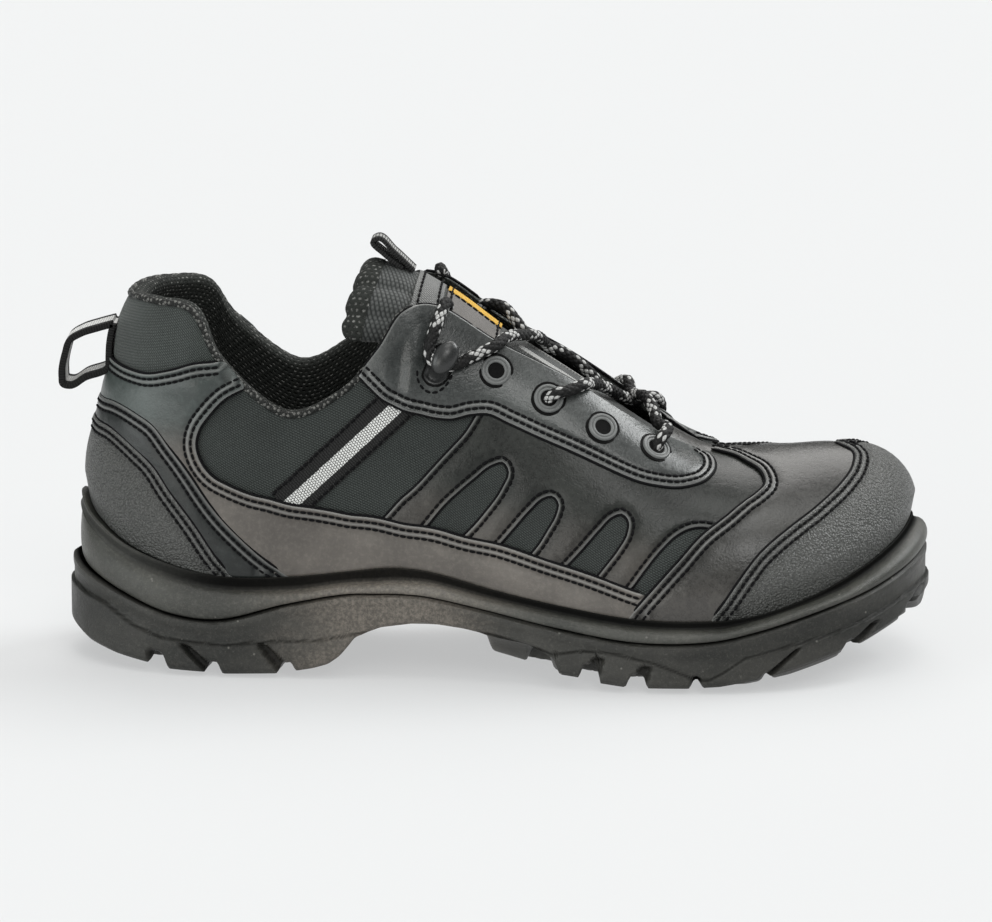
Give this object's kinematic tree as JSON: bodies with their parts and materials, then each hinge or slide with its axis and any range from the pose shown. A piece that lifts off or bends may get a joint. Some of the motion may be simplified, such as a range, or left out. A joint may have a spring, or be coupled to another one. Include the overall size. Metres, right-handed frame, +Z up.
{
  "type": "safety shoe",
  "caption": "Black low-cut lace-up safety shoe for the right foot, with leather and woven panels, rubber-look toe guard and heel counter, padded collar and a lugged two-layer sole.",
  "frame": {"origin": "middle of the bounding box, on the floor plane under the sole", "axes": "+X from heel to toe, +Y towards the inner (medial) side of the foot, +Z up"},
  "size_m": [0.3094, 0.1142, 0.1511],
  "materials": {
    "leather": "smooth, semi-matte",
    "pebbled": "pebbled coated leather",
    "sole": "moulded, satin",
    "outsole": "moulded, matte",
    "fabric": "woven",
    "lining": "knitted mesh",
    "eyelet": "dark lacquer",
    "lace": "braided cord",
    "webbing": "woven tape"
  },
  "bodies": {
    "root": {"upper": "leather", "midsole": "sole", "outsole": "outsole", "insole": "lining", "heel_counter": "pebbled", "toe_guard": "pebbled", "tongue": "fabric", "heel_pull_loop": "webbing", "tongue_pull_loop": "webbing", "eyelet_lateral_1": "eyelet", "eyelet_lateral_2": "eyelet", "eyelet_lateral_3": "eyelet", "eyelet_lateral_4": "eyelet", "eyelet_medial_1": "eyelet", "eyelet_medial_2": "eyelet", "eyelet_medial_3": "eyelet", "eyelet_medial_4": "eyelet", "lacing_stud_lateral": "eyelet", "lacing_stud_medial": "eyelet", "lace_upper_crossing": "lace", "lace_lower_crossing": "lace"}
  },
  "joints": []
}
